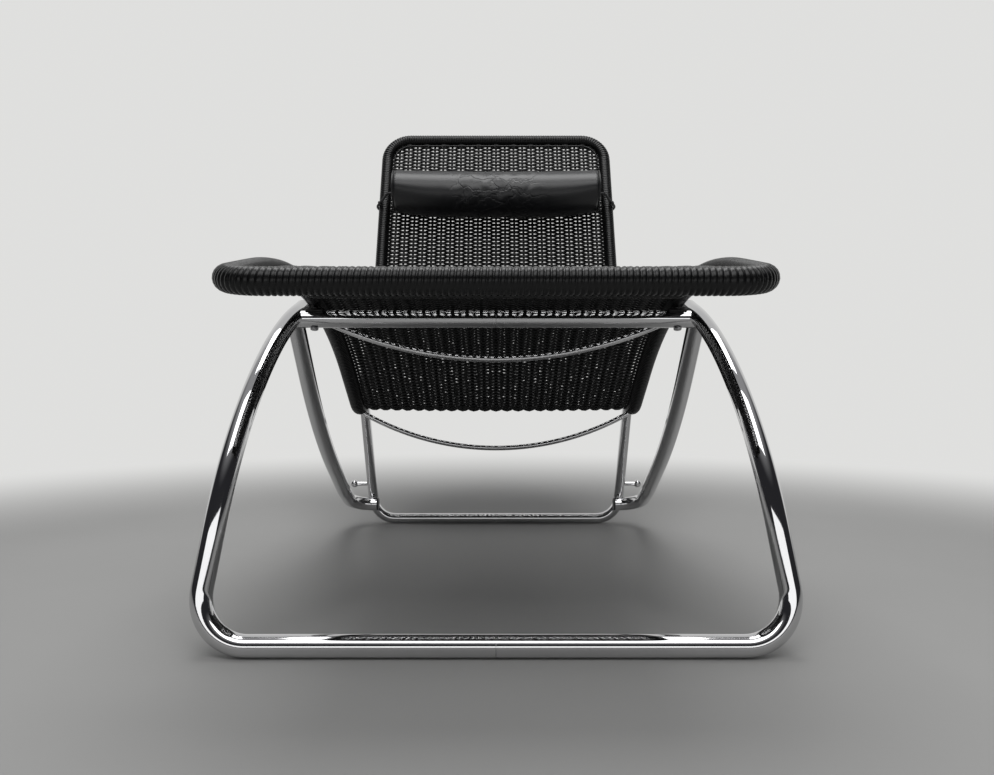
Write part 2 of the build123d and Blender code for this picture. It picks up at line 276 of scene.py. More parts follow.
# %% Grain and creases of the leather
leather, nodes, surface, place = new_finish("leather_finish", Specular_IOR_Level=0.62)
grain = nodes.number(nodes.add("ShaderNodeTexVoronoi", {"Vector": place, "Scale": 520.0}))
wander = nodes.add("ShaderNodeTexNoise", {"Vector": place, "Scale": 22.0, "Detail": 3.0})
astray = nodes.scaled(nodes.vector("SUBTRACT", wander.outputs["Color"], (0.5, 0.5, 0.5)), 0.06)
stretched = nodes.vector("MULTIPLY", nodes.vector("ADD", place, astray), (16.0, 34.0, 34.0))
cells = nodes.add("ShaderNodeTexVoronoi", {"Vector": stretched, "Scale": 1.0}, feature="DISTANCE_TO_EDGE")
from_middle = nodes.number(nodes.add("ShaderNodeSeparateXYZ", {"Vector": place}), 0)
worn_middle = nodes.ramp(from_middle.math("ABSOLUTE", from_middle), 0.05, 0.15, 1.0, 0.0)
crease = nodes.ramp(nodes.number(cells), 0.0, 0.07, -1.0, 0.0) * worn_middle
print("grain and creases take", len(leather.node_tree.nodes), "nodes")

# %% Leather finish
black_hide, pale_hide = (0.0015, 0.0018, 0.0026, 1), (0.004, 0.0043, 0.0056, 1)
grain_tip = (0.007, 0.0074, 0.009, 1)
patch = noise(nodes, place, 9.0)
tone = nodes.blend(patch, black_hide, pale_hide)
nodes.join(nodes.blend(grain * 0.3, tone, grain_tip), surface.inputs["Base Color"])
nodes.join(0.32 + patch * 0.12 - grain * 0.04, surface.inputs["Roughness"])
nodes.join(bump(nodes, crease + grain * 0.06, 0.5, 0.0012), surface.inputs["Normal"])
print("made", leather.name)

# %% [markdown]
# ## Cord, rubber, plastic, steel and foam
# The small and hidden pieces are a leather cord, rubber pads, plastic plugs, plain steel sleeves and a
# foam core. Each could have a tree of its own, but at their size all that shows is a speckle. One
# function makes all five, with a speckle of another size, colour and roughness for each.


# %% Speckled finishes
def speckled(name, dark, light, roughness, scale, metallic=0.0):
    material, nodes, surface, place = new_finish(name, Metallic=metallic)
    spot = noise(nodes, place, scale)
    nodes.join(nodes.blend(nodes.ramp(spot, 0.3, 0.7), dark, light), surface.inputs["Base Color"])
    nodes.join(roughness + spot * 0.15, surface.inputs["Roughness"])
    nodes.join(bump(nodes, spot, 0.15, 0.0003), surface.inputs["Normal"])
    print("made", name)
    return material


lace = speckled("cord_finish", (0.006, 0.006, 0.007, 1), (0.02, 0.02, 0.022, 1), 0.5, 700.0)
rubber = speckled("rubber_finish", grey(0.012), grey(0.03), 0.6, 300.0)
plastic = speckled("plug_finish", (0.02, 0.02, 0.021, 1), (0.04, 0.04, 0.042, 1), 0.35, 200.0)
steel = speckled("steel_finish", (0.42, 0.42, 0.43, 1), (0.56, 0.56, 0.57, 1), 0.28, 120.0, 1.0)
foam = speckled("foam_finish", (0.70, 0.64, 0.48, 1), (0.80, 0.74, 0.58, 1), 0.85, 500.0)

# %% [markdown]
# ## Camera
# The picture is taken square from the front, at about sitting height, with a wide lens. A camera that
# looks down would make the upright tubes lean together, so this one stays level, and a small shift of the
# lens frames the chair. Its distance matters more than its lens, because that sets how fast the sling
# narrows to the back.

# %% Set up the camera
picture_width, focal_pixels = 994, 760
sensor_width = 36.0
eye = (0, -1.3525, 0.3425)
lens = bpy.data.cameras.new("camera")
lens.sensor_width = sensor_width
lens.lens = sensor_width * focal_pixels / picture_width
lens.shift_x, lens.shift_y = 0.001, -0.0216
lens.clip_start = 0.05
camera = bpy.data.objects.new("camera", lens)
camera.location = eye
camera.rotation_euler = (math.pi / 2, 0, 0)
bpy.context.collection.objects.link(camera)
bpy.context.scene.camera = camera
bpy.context.scene.view_settings.view_transform = "Standard"
print("lens of", round(lens.lens, 1), "mm")

# %% [markdown]
# ## Floor
# The chair stands on a plain floor that has to take its shadow and fade into a pale backdrop. A curved
# studio sweep would do, but its bend shows as a line in chrome. A large flat floor that turns into the
# backdrop's own colour with distance has no edge. To the camera it fades all round, and in reflections
# only behind the chair.

# %% Lay the floor
pale = (0.74, 0.74, 0.73, 1)
floor_reach = 9
floor_corners = [(-1, -1), (1, -1), (1, 1), (-1, 1)]
floor_mesh = bpy.data.meshes.new("floor")
floor_mesh.from_pydata([(x * floor_reach, y * floor_reach, 0) for x, y in floor_corners], [], [(0, 1, 2, 3)])
floor = bpy.data.objects.new("floor", floor_mesh)
bpy.context.collection.objects.link(floor)
concrete, nodes, surface, place = new_finish("floor_finish", Roughness=0.6)
cloud = noise(nodes, place, 3.0)
dark_floor, light_floor = (0.345, 0.343, 0.336, 1), (0.385, 0.383, 0.376, 1)
nodes.join(nodes.blend(cloud, dark_floor, light_floor), surface.inputs["Base Color"])
print("made", concrete.name)

# %% Fade the floor into the backdrop
rays = nodes.add("ShaderNodeLightPath")
away = nodes.add("ShaderNodeVectorMath", {0: place, 1: (0.0, -0.6, 0.0)}, operation="DISTANCE")
behind = nodes.ramp(nodes.number(nodes.add("ShaderNodeSeparateXYZ", {"Vector": place}), 1), 0.55, 1.25)
around = nodes.ramp(nodes.number(away, "Value"), 1.2, 2.3)
far = behind + (around - behind) * nodes.number(rays, "Is Camera Ray")
glow = nodes.add("ShaderNodeEmission", {"Color": pale})
faded = nodes.add("ShaderNodeMixShader", {0: far, 1: surface.outputs[0], 2: glow.outputs[0]})
nodes.join(faded.outputs[0], concrete.node_tree.nodes["Material Output"].inputs["Surface"])
floor_mesh.materials.append(concrete)
print("floor of", floor_reach * 2, "m")

# %% [markdown]
# ## Backdrop
# Behind the chair is an even, pale backdrop. One colour for the whole world would light the chair flatly
# and turn the chrome white. The camera therefore sees the pale colour, soft light comes from a dim one,
# and mirrors see a room: pale behind the chair, dark in front of it, half bright overhead. That gives
# chrome its dark lines.

# %% Set up the world
world = bpy.data.worlds.new("studio")
bpy.context.scene.world = world
world.use_nodes = True
nodes = Nodes(world.node_tree)
backdrop = world.node_tree.nodes["Background"]
direction = nodes.add("ShaderNodeTexCoord").outputs["Generated"]
direction = nodes.add("ShaderNodeSeparateXYZ", {"Vector": direction})
behind = nodes.ramp(nodes.number(direction, 1), 0.15, 0.50)
overhead = nodes.ramp(nodes.number(direction, 2), 0.45, 0.85, 0.0, 0.6)
dark_front, ceiling, fill_light = (0.025, 0.025, 0.028, 1), (0.55, 0.55, 0.56, 1), (0.18, 0.183, 0.19, 1)
room = nodes.blend(overhead, nodes.blend(behind, dark_front, pale), ceiling)
rays = nodes.add("ShaderNodeLightPath")
mirrored = nodes.number(rays, "Is Glossy Ray") + nodes.number(rays, "Is Transmission Ray")
lit = nodes.blend(mirrored, fill_light, room)
nodes.join(nodes.blend(nodes.number(rays, "Is Camera Ray"), lit, pale), backdrop.inputs["Color"])
print("world", world.name)

# %% [markdown]
# ## Lamps
# A chair like this is lit by large softboxes, because chrome shows the shape of every lamp. Small lamps
# would make dots on the tubes. One softbox above lights the bolster and the roll, one high in front
# lights the legs, and a long low one draws the thin second line on the floor bar. The dark gap between
# the two is seen in the tubes.


# %% Hang the softboxes
def softbox(name, place, target, size, power):
    lamp = bpy.data.lights.new(name, "AREA")
    lamp.shape = "RECTANGLE"
    lamp.size, lamp.size_y = size
    lamp.energy = power
    hanging = bpy.data.objects.new(name, lamp)
    hanging.location = place
    hanging.rotation_euler = (Vector(target) - Vector(place)).to_track_quat("-Z", "Y").to_euler()
    hanging.visible_camera = False
    bpy.context.collection.objects.link(hanging)
    print(name, power, "W")


softbox("softbox_above", (0, 0.1, 2.9), (0, 0.1, 0), (2.0, 1.4), 40)
softbox("softbox_high", (0, -1.78, 2.55), (0, -0.11, 0.56), (3.0, 1.4), 34)
softbox("softbox_low", (0, -3.2, 0.55), (0, 0, 0.45), (4.4, 0.60), 11.5)

# %% [markdown]
# ## Shapes that follow a line
# Bent tube, wound strip and woven strands are all one shape that is repeated or drawn along a line. Each
# could be modelled by hand, but then a change of the line means doing it again. A Geometry Nodes tree
# makes them from a handful of corners: it rounds the corners, spaces points along the line and puts the
# shape there. `grow` runs a tree once and keeps the plain mesh.


# %% Lines to start from
def corner_line(name, *runs):
    """Lines through corners, each with its bend radius. A run that ends where it began is closed."""
    corners = []
    edges = []
    for run in runs:
        first = len(corners)
        closed = (Vector(run[0][0]) - Vector(run[-1][0])).length < 1e-6
        corners += run[:-1] if closed else run
        edges += [(i, i + 1) for i in range(first, len(corners) - 1)]
        if closed:
            edges.append((len(corners) - 1, first))
    mesh = bpy.data.meshes.new(name)
    mesh.from_pydata([point for point, bend in corners], edges, [])
    bends = mesh.attributes.new("bend", "FLOAT", "POINT")
    for item, (point, bend) in zip(bends.data, corners):
        item.value = bend
    line = bpy.data.objects.new(name, mesh)
    bpy.context.collection.objects.link(line)
    return line


print("ready to draw lines")


# %% Start, run and end a tree
def geometry_tree(name, **inputs):
    tree = bpy.data.node_groups.new(name, "GeometryNodeTree")
    tree.interface.new_socket("Geometry", in_out="INPUT", socket_type="NodeSocketGeometry")
    for socket, kind in inputs.items():
        tree.interface.new_socket(socket, in_out="INPUT", socket_type="NodeSocket" + kind)
    tree.interface.new_socket("Geometry", in_out="OUTPUT", socket_type="NodeSocketGeometry")
    nodes = Nodes(tree)
    return nodes, nodes.add("NodeGroupInput"), nodes.add("NodeGroupOutput")


def hand_over(nodes, given, result, mesh):
    """Ends a tree with plain faces that have their finish."""
    single = nodes.add("GeometryNodeRealizeInstances", {"Geometry": mesh})
    inputs = {"Geometry": single.outputs[0], "Material": given.outputs["Finish"]}
    nodes.join(nodes.add("GeometryNodeSetMaterial", inputs).outputs[0], result.inputs[0])
    print("wrote", nodes.tree.name, "with", len(nodes.tree.nodes), "nodes")


def grow(line, nodes, **values):
    """Runs a tree on a line and leaves the plain mesh."""
    modifier = line.modifiers.new("grow", "NODES")
    modifier.node_group = nodes.tree
    for item in nodes.tree.interface.items_tree:
        if item.in_out == "INPUT" and item.name in values:
            modifier[item.identifier] = values[item.name]
    grown = line.evaluated_get(bpy.context.evaluated_depsgraph_get())
    mesh = bpy.data.meshes.new_from_object(grown)
    line.modifiers.clear()
    line.data = mesh
    mesh.name = line.name
    print(line.name, len(mesh.polygons), "faces")
    return line


print("ready to write trees")

# %% Steps that the trees share
bend_points = 48


def rounded(nodes, given):
    """The line with its corners bent, as a curve."""
    curve = nodes.add("GeometryNodeMeshToCurve", {"Mesh": given.outputs["Geometry"]})
    bend = nodes.add("GeometryNodeInputNamedAttribute", {"Name": "bend"}, data_type="FLOAT")
    inputs = {"Curve": curve.outputs[0], "Count": bend_points, "Radius": bend.outputs[0]}
    inputs["Limit Radius"] = False
    return nodes.add("GeometryNodeFilletCurve", inputs, mode="POLY").outputs[0]


def spaced(nodes, curve, step):
    """The curve with points one step apart."""
    return nodes.add("GeometryNodeResampleCurve", {"Curve": curve, "Length": step}, mode="LENGTH").outputs[0]


def circle(nodes, sides, radius):
    inputs = {"Resolution": sides, "Radius": radius}
    return nodes.add("GeometryNodeCurvePrimitiveCircle", inputs).outputs[0]


def swept(nodes, curve, profile):
    """A profile drawn along a curve, with closed ends."""
    inputs = {"Curve": curve, "Profile Curve": profile, "Fill Caps": True}
    return nodes.add("GeometryNodeCurveToMesh", inputs).outputs[0]


def smoothed(nodes, mesh):
    return nodes.add("GeometryNodeSetShadeSmooth", {"Geometry": mesh}).outputs[0]


print("ready to grow shapes")

# %% [markdown]
# ## Tube tree
# Chrome shows every facet of a mesh, and the CAD tubes have flat sides. More subdivision would round off
# their ends too. A circle with many sides, drawn along the same line, gives an even tube, and only the
# edge between its side and its flat end stays crisp.

# %% Write the tube tree
tube_sides = 36
crisp_angle = 0.9
tube, given, result = geometry_tree("tube_tree", Radius="Float", Step="Float", Finish="Material")
tube_line = spaced(tube, rounded(tube, given), given.outputs["Step"])
round_tube = smoothed(tube, swept(tube, tube_line, circle(tube, tube_sides, given.outputs["Radius"])))
edge_angle = tube.number(tube.add("GeometryNodeInputMeshEdgeAngle"))
end_edge = edge_angle.math("GREATER_THAN", edge_angle, crisp_angle)
crisp = tube.add(
    "GeometryNodeSetShadeSmooth",
    {"Geometry": round_tube, "Selection": end_edge, "Shade Smooth": False},
    domain="EDGE",
)
hand_over(tube, given, result, crisp.outputs[0])

# %% [markdown]
# ## Base, crossbar and rear hoop
# Each half of the base is a front leg bent from the floor bar, and a strut that runs back from under the
# leg and ends in a hook at the rear hoop. They could be joined into one skin, but the real tubes are cut
# and welded, so separate tubes that run into each other look right. Each half stops just short of the
# middle. That leaves the thin seam that shows in every bar.

# %% Lines of the base
base_radius = 0.0135
seam_gap, hook_gap = 0.0003, 0.0003
floor_bar_y, floor_bar_x, floor_bar_bend = -0.4595, 0.359, 0.058
strut_x = 0.308
hook_z, hook_bend, hook_end_x = 0.047, 0.042, 0.254
hoop_radius = 0.0105
hoop_x, hoop_bend, hoop_top_x = 0.263, 0.046, 0.2806
hoop_top = hip + hip_up * (hip_bend_end + 0.0145)
hoop_foot = Vector((0, 0.307, hoop_radius))
hoop_down = (hoop_foot - hoop_top).normalized()
hook_y = hoop_top.y + (hoop_top.z - hook_z) * hoop_down.y / -hoop_down.z
hook_y -= (base_radius + hoop_radius + hook_gap) / -hoop_down.z
print("hooks lie", round(hook_y * 1000), "mm behind the middle")


# %% Lines of one side
def front_line(side):
    foot = [((side * seam_gap, floor_bar_y, base_radius), 0)]
    foot += [((side * floor_bar_x, floor_bar_y, base_radius), floor_bar_bend)]
    return foot + [((side * 0.3145, -0.383, 0.358), 0.38), ((side * 0.306, -0.1477, 0.4337), 0)]


def strut_line(side):
    down = [((side * strut_x, -0.192, 0.418), 0), ((side * strut_x, -0.0275, 0.225), 0.9)]
    down += [((side * strut_x, 0.1875, 0.090), 0.3), ((side * strut_x, hook_y, hook_z), hook_bend)]
    return down + [((side * hook_end_x, hook_y, hook_z), 0)]


def crossbar_line(side):
    low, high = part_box("crossbar_sleeve")
    y, z = (low[1] / 2 + high[1] / 2, low[2] / 2 + high[2] / 2)
    return [((side * seam_gap, y, z), 0), ((side * 0.303, y, z), 0)]


def hoop_line(side):
    leg = hoop_top + hoop_down * 0.006
    foot = [((side * seam_gap, hoop_foot.y, hoop_foot.z), 0)]
    foot += [((side * hoop_x, hoop_foot.y, hoop_foot.z), hoop_bend)]
    return foot + [((side * hoop_top_x, leg.y, leg.z), 0)]


print("a strut has", len(strut_line(1)), "corners")

# %% Bend both sides
both_sides = (("left", -1), ("right", 1))
chrome_pieces = {}
for word, side in both_sides:
    base = corner_line("base_tube_" + word, front_line(side), strut_line(side))
    chrome_pieces["base_frame_" + word] = grow(base, tube, Radius=base_radius, Step=0.004, Finish=chrome)
    bar = corner_line("crossbar_tube_" + word, crossbar_line(side))
    chrome_pieces["crossbar_" + word] = grow(bar, tube, Radius=base_radius, Step=0.01, Finish=chrome)
    hoop = corner_line("hoop_tube_" + word, hoop_line(side))
    chrome_pieces["rear_hoop_" + word] = grow(hoop, tube, Radius=hoop_radius, Step=0.004, Finish=chrome)

# %% [markdown]
# ## Spreader rods
# Two thin rods keep the rails apart, and both are bowed down so that a sitter's weight never reaches
# them. Three points and a bend would leave straight ends. A rod that is sprung into place is an arc of
# one circle, so the points are worked out on that circle from the rod's width and sag.


# %% Bow the two rods
def bowed(name, node, sag):
    rod_radius = 0.005
    half_points = 20
    low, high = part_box(node)
    y = (low[1] + high[1]) / 2
    end_z = low[2] + rod_radius + sag
    arc = (rail_x * rail_x + sag * sag) / (2 * sag)
    places = [rail_x * 0.985 * (i / half_points - 1) for i in range(2 * half_points + 1)]
    points = [((x, y, end_z - sag + arc - math.sqrt(arc * arc - x * x)), 0) for x in places]
    return grow(corner_line(name, points), tube, Radius=rod_radius, Step=0.004, Finish=chrome)


chrome_pieces["front_spreader"] = bowed("front_rod", "front_spreader", 0.060)
chrome_pieces["rear_spreader"] = bowed("rear_rod", "rear_spreader", 0.075)

# %% [markdown]
# ## Wrap tree
# Cane strip is wound edge to edge round the tube, so the surface is a screw of low, round ribs. A strip
# that is really wound would be a long helix with hidden edges inside. The tree draws a plain tube
# instead, asks of each point how far across its strip it lies, and pushes it out by the height of a half
# circle there.

# %% Turns of the strip
wrap_sides = 20
points_per_turn = 8.0
wrap, given, result = geometry_tree(
    "wrap_tree", Pitch="Float", Radius="Float", Rib="Float", Finish="Material"
)
pitch = wrap.number(given, "Pitch")
wrap_line = spaced(wrap, rounded(wrap, given), pitch / points_per_turn)
along = wrap.add("GeometryNodeCaptureAttribute", {"Geometry": wrap_line}, domain="POINT")
along.capture_items.new("FLOAT", "Along")
wrap.join(wrap.add("GeometryNodeSplineParameter").outputs["Length"], along.inputs["Along"])
wrap_ring = circle(wrap, wrap_sides, wrap.number(given, "Radius"))
around = wrap.add("GeometryNodeCaptureAttribute", {"Geometry": wrap_ring}, domain="POINT")
around.capture_items.new("FLOAT", "Around")
wrap.join(wrap.number(wrap.add("GeometryNodeInputIndex")) / float(wrap_sides), around.inputs["Around"])
turns = wrap.number(along, "Along") / pitch + wrap.number(around, "Around")
print("a turn has", points_per_turn, "points")

# %% Ribs of the strip
across = turns.math("FRACT", turns) * 2.0 - 1.0
swell = across.math("SQRT", 1.02 - across * across) * wrap.number(given, "Rib")
push = wrap.scaled(wrap.add("GeometryNodeInputNormal").outputs[0], swell)
plain_wrap = swept(wrap, along.outputs[0], around.outputs[0])
ribbed = wrap.add("GeometryNodeSetPosition", {"Geometry": plain_wrap, "Offset": push})
hand_over(wrap, given, result, smoothed(wrap, ribbed.outputs[0]))

# %% [markdown]
# ## Wraps of the roll, the rails and the top bar
# The front roll has broad, deep turns, and the strip on the rails is narrower and flatter. All four wraps
# come from the same tree with other sizes. The roll and the top bar run round the corners, as on the real
# chair, so their ends meet the rails behind the bends.


# %% Lines of the wraps
def beside(point, x):
    return Vector((x, point.y, point.z))


def bracket(end, end_x, corner, corner_x, bend):
    """A line from left to right with two rounded corners."""
    left = [(beside(end, -end_x), 0), (beside(corner, -corner_x), bend)]
    return left + [(beside(corner, corner_x), bend), (beside(end, end_x), 0)]


def rail_line(x):
    front = [(beside(front_cut, x), 0), (beside(knee, x), knee_bend), (beside(hip, x), hip_bend)]
    return front + [(beside(lumbar, x), lumbar_bend), (beside(top_cut, x), 0)]


print("a rail has", len(rail_line(rail_x)), "corners")

# %% Wind the wraps
roll_line = corner_line("roll_wrap", bracket(front_cut, rail_x, roll, rail_x, corner_bend))
roll_wrap = grow(roll_line, wrap, Pitch=0.0061, Radius=0.0124, Rib=0.0022, Finish=cane)
top_line = corner_line("top_wrap", bracket(top_cut, rail_x, top_bar, rail_x, corner_bend))
top_wrap = grow(top_line, wrap, Pitch=0.0061, Radius=0.0126, Rib=0.0019, Finish=cane)
rail_wraps = {}
for word, side in both_sides:
    line = corner_line("rail_cane_" + word, rail_line(side * rail_x))
    rail_wraps[word] = grow(line, wrap, Pitch=0.0052, Radius=0.0133, Rib=0.0013, Finish=cane)

# %% [markdown]
# ## Weave tree
# Stakes run the length of the sling. Thin weavers cross them, each in front of one stake and behind the
# next, and its neighbour the other way round. A flat panel with holes painted on looks thin from the
# side. Real strands leave the right gaps from every side, and because every row repeats, one tree can lay
# hundreds of them.

# %% Inputs of the weave
float_inputs = ["Row_pitch", "Stake_pitch", "Half_width", "Wave", "Sag"]
float_inputs += ["Strand_width", "Strand_flat", "Stake"]
kinds = {name: "Float" for name in float_inputs}
weave, given, result = geometry_tree("weave_tree", **kinds, Finish="Material")
half_width = weave.number(given, "Half_width")
stake_pitch = weave.number(given, "Stake_pitch")
weave_line = rounded(weave, given)
strand_sides = 6


def weave_facing():
    """The way the front of the weave looks, at each point of the line."""
    tangent = weave.add("GeometryNodeInputTangent").outputs[0]
    return weave.vector("CROSS_PRODUCT", (1.0, 0.0, 0.0), tangent)


def level_line(count, half_length):
    """Points in a row from left to right."""
    first = weave.add("ShaderNodeCombineXYZ", {"X": 0.0 - half_length})
    last = weave.add("ShaderNodeCombineXYZ", {"X": half_length})
    inputs = {"Count": count, "Start Location": first.outputs[0], "Offset": last.outputs[0]}
    return weave.add("GeometryNodeMeshLine", inputs, mode="END_POINTS").outputs[0]


def laid(points, strand):
    """A strand put on every point."""
    copies = weave.add("GeometryNodeInstanceOnPoints", {"Points": points, "Instance": strand})
    return weave.add("GeometryNodeRealizeInstances", {"Geometry": copies.outputs[0]}).outputs[0]


print("weave takes", len(float_inputs), "sizes")

# %% Lay the weavers in rows
weaver_points = 71
rows = weave.add(
    "GeometryNodeCaptureAttribute",
    {"Geometry": spaced(weave, weave_line, given.outputs["Row_pitch"])},
    domain="POINT",
)
rows.capture_items.new("VECTOR", "Facing")
rows.capture_items.new("FLOAT", "Row")
weave.join(weave_facing(), rows.inputs["Facing"])
weave.join(weave.add("GeometryNodeInputIndex").outputs[0], rows.inputs["Row"])
straight_weavers = laid(rows.outputs[0], level_line(weaver_points, half_width))
print("a weaver has", weaver_points, "points")

# %% Wave the weavers round the stakes
spot = weave.add("ShaderNodeSeparateXYZ", {"Vector": weave.add("GeometryNodeInputPosition").outputs[0]})
phase = (weave.number(spot, 0) / stake_pitch + weave.number(rows, "Row")) * math.pi
rise = phase.math("COSINE", phase) * weave.number(given, "Wave")
from_middle = weave.number(spot, 0) / half_width
dip = (1.0 - from_middle * from_middle) * weave.number(given, "Sag")
offset = weave.scaled(rows.outputs["Facing"], rise - dip)
waved = weave.add("GeometryNodeSetPosition", {"Geometry": straight_weavers, "Offset": offset})
weaver_line = weave.add("GeometryNodeMeshToCurve", {"Mesh": waved.outputs[0]})
inputs = {"Curve": weaver_line.outputs[0], "Normal": rows.outputs["Facing"]}
weaver_flat = weave.add("GeometryNodeSetCurveNormal", inputs, mode="FREE")
print("weavers pass in front of every second stake")

# %% Give the weavers a flat section
flatten = weave.add("ShaderNodeCombineXYZ", {"X": given.outputs["Strand_flat"], "Y": 1.0, "Z": 1.0})
weaver_ring = circle(weave, strand_sides, given.outputs["Strand_width"])
weaver_oval = weave.add("GeometryNodeTransform", {"Geometry": weaver_ring, "Scale": flatten.outputs[0]})
weavers = swept(weave, weaver_flat.outputs[0], weaver_oval.outputs[0])
print("a weaver has", strand_sides, "sides")

# %% Lay the stakes and join all strands
half_stakes = 11
stake_step = 0.010
stake_row = level_line(2 * half_stakes + 1, stake_pitch * float(half_stakes))
stake_lines = laid(stake_row, spaced(weave, weave_line, stake_step))
offset = weave.scaled(weave_facing(), 0.0 - dip)
stakes_low = weave.add("GeometryNodeSetPosition", {"Geometry": stake_lines, "Offset": offset})
stakes = swept(weave, stakes_low.outputs[0], circle(weave, strand_sides, given.outputs["Stake"]))
strands = weave.add("GeometryNodeJoinGeometry")
weave.join(weavers, strands.inputs[0])
weave.join(stakes, strands.inputs[0])
hand_over(weave, given, result, smoothed(weave, strands.outputs[0]))

# %% [markdown]
# ## Seat and back
# One weave covers the whole sling, but the CAD part has a seat and a back panel that meet just above the
# hip. The two are grown from the same tree with the same strands, so no change shows at the seam. Only
# the seat hangs through a little.

# %% Weave the seat and the back
weave_inset = 0.0135
strand_sizes = dict(Row_pitch=0.0052, Stake_pitch=0.02245, Half_width=0.266, Wave=0.0038, Finish=cane)
strand_sizes.update(Strand_width=0.0028, Strand_flat=0.7, Stake=0.0030)
seat_from = roll + seat_up * weave_inset
back_to = top_bar - back_up * weave_inset
seat_corners = [(seat_from, 0), (knee, knee_bend), (hip, hip_bend), (seam, 0)]
back_corners = [(seam, 0), (lumbar, lumbar_bend), (back_to, 0)]
seat_cane = grow(corner_line("seat_cane", seat_corners), weave, Sag=0.003, **strand_sizes)
back_cane = grow(corner_line("back_cane", back_corners), weave, Sag=0.0, **strand_sizes)

# %% [markdown]
# ## Edge strands
# Where the weave is tied off, one heavier strand lies along the top bar and another under the front roll.
# They could be part of the weave tree, but they run across it and turn at the corners. The wrap tree
# already draws a wound line round corners, so it is used again with small sizes.

# %% Lay the edge strands
edge_x = rail_x - 0.019
lift_off = back_front * 0.007
edge_low, edge_high = top_bar - back_up * 0.060 + lift_off, top_bar - back_up * 0.0205 + lift_off
under_roll, behind_roll = roll + Vector((0, 0.004, -0.0142)), roll + Vector((0, 0.017, -0.004))
top_edge = bracket(edge_low, edge_x, edge_high, edge_x, 0.042)
roll_edge = bracket(behind_roll, 0.196, under_roll, 0.180, 0.010)
edge_strands = corner_line("edge_strands", top_edge, roll_edge)
grow(edge_strands, wrap, Pitch=0.007, Radius=0.0014, Rib=0.0006, Finish=cane)

# %% [markdown]
# ## Roll of the bolster
# The bolster is a tube of leather with a sewn disc at each end, filled with foam. A plain cylinder has
# long, thin faces that can't crease. The roll is built ring by ring instead, so that its faces are nearly
# square, with a small rounding where the discs are sewn in.

# %% Rings of the roll
low, high = (Vector(corner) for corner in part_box("headrest_cover"))
bolster_centre = (low + high) / 2
half_length, bolster_radius, sides, middle_rings = 0.247, 0.055, 72, 96
straight_x = 0.238
cap = [(0.0, 0.012), (0.0, 0.024), (0.0, 0.036), (0.0, 0.046), (0.0012, 0.0512), (0.0045, 0.0543)]
rings = [(half_length - inset, radius) for inset, radius in cap]
rings += [(x, bolster_radius) for x in np.linspace(straight_x, -straight_x, middle_rings)]
rings += [(inset - half_length, radius) for inset, radius in reversed(cap)]
turns = [2 * math.pi * i / sides for i in range(sides)]
skin_points = [(x, radius * math.cos(turn), radius * math.sin(turn)) for x, radius in rings for turn in turns]
skin_points += [(half_length, 0, 0), (-half_length, 0, 0)]
print(len(rings), "rings")

# %% Skin over the rings
faces = []
for ring in range(len(rings) - 1):
    for i in range(sides):
        first, second = ring * sides + i, ring * sides + (i + 1) % sides
        faces.append((first, first + sides, second + sides, second))
last = (len(rings) - 1) * sides
for i in range(sides):
    faces.append(((i + 1) % sides, len(skin_points) - 2, i))
    faces.append((last + i, len(skin_points) - 1, last + (i + 1) % sides))
bolster_mesh = bpy.data.meshes.new("bolster")
bolster_mesh.from_pydata(skin_points, [], faces)
shell = bmesh.new()
shell.from_mesh(bolster_mesh)
bmesh.ops.recalc_face_normals(shell, faces=shell.faces)
shell.to_mesh(bolster_mesh)
shell.free()
bolster = bpy.data.objects.new("bolster", bolster_mesh)
bpy.context.collection.objects.link(bolster)
points = np.array(skin_points)
print("roll of", len(faces), "faces")

# %% [markdown]
# ## Creases of the bolster
# The middle of the bolster is creased from use, because the leather has stretched there. Creases could be
# sculpted, but then they don't look like too much leather on too little foam. Cloth simulation gives just
# that: the middle grows by a few percent, the ends are held, and the skin has to fold. Slight dents at
# the start tell it where. Only a part of each move is kept, so that the folds stay as shallow as they are
# on the real one.

# %% Dent the middle
dent_depth, dent_reach, dent_scale = 0.0015, 0.12, 38.0


def dent_middle(mesh):
    for vertex in mesh.vertices:
        fade = math.exp(-((vertex.co.x / dent_reach) ** 2))
        dent = dent_depth * fade * perlin.noise(vertex.co * dent_scale)
        outward = Vector((0, vertex.co.y, vertex.co.z)).normalized()
        vertex.co += outward * dent


print("dents reach about", round(dent_reach * 1000), "mm from the middle")

# %% Grow the leather as cloth
crease_reach = 0.16
last_frame = 20


def stuffed_points(roll_of_leather):
    """Where cloth simulation takes the points of the roll when only its middle is free."""
    held_ends = roll_of_leather.vertex_groups.new(name="held_ends")
    ends = [i for i, point in enumerate(skin_points) if abs(point[0]) > crease_reach]
    held_ends.add(ends, 1.0, "REPLACE")
    cloth = roll_of_leather.modifiers.new("cloth", "CLOTH")
    cloth.settings.use_pressure = True
    cloth.settings.uniform_pressure_force = 4.0
    cloth.settings.effector_weights.gravity = 0.0
    cloth.settings.vertex_group_mass = "held_ends"
    cloth.settings.shrink_min = -0.035
    cloth.settings.bending_stiffness = 0.4
    cloth.point_cache.frame_start = 1
    cloth.point_cache.frame_end = last_frame
    for step in range(1, last_frame + 1):
        bpy.context.scene.frame_set(step)
    stuffed = roll_of_leather.evaluated_get(bpy.context.evaluated_depsgraph_get())
    moved = np.array([vertex.co[:] for vertex in stuffed.data.vertices])
    roll_of_leather.modifiers.clear()
    roll_of_leather.vertex_groups.clear()
    bpy.context.scene.frame_set(1)
    return moved


print("cloth runs for", last_frame, "frames")

